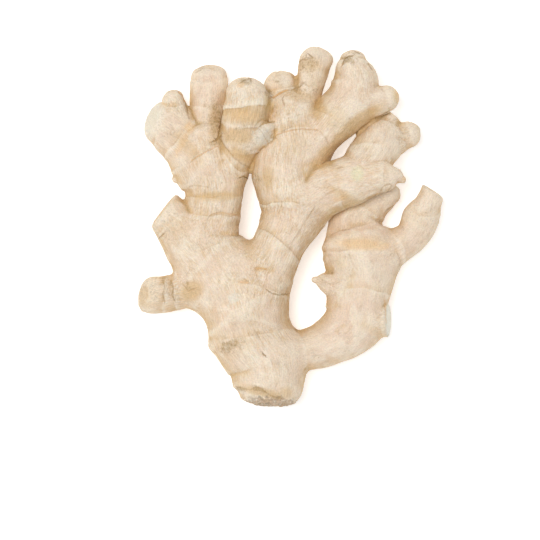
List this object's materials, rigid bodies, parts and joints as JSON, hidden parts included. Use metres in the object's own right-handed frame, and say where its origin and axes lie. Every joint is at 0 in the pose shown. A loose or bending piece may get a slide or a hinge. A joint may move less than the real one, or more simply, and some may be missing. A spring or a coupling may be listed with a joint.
{
  "type": "ginger root",
  "caption": "Whole fresh ginger rhizome lying flat: a thick scarred trunk that divides into ringed, knobbly branches with rounded, budding and snapped ends.",
  "frame": {"origin": "on the table, under the middle of the rhizome's bounding box", "axes": "+Z up from the table; +Y from the old scarred end of the trunk to the youngest finger tips; +X to the right when seen from above with +Y up"},
  "size_m": [0.1539, 0.1793, 0.0376],
  "materials": {
    "ginger_skin": "matte"
  },
  "bodies": {
    "root": {"ginger_rhizome": "ginger_skin"}
  },
  "joints": []
}
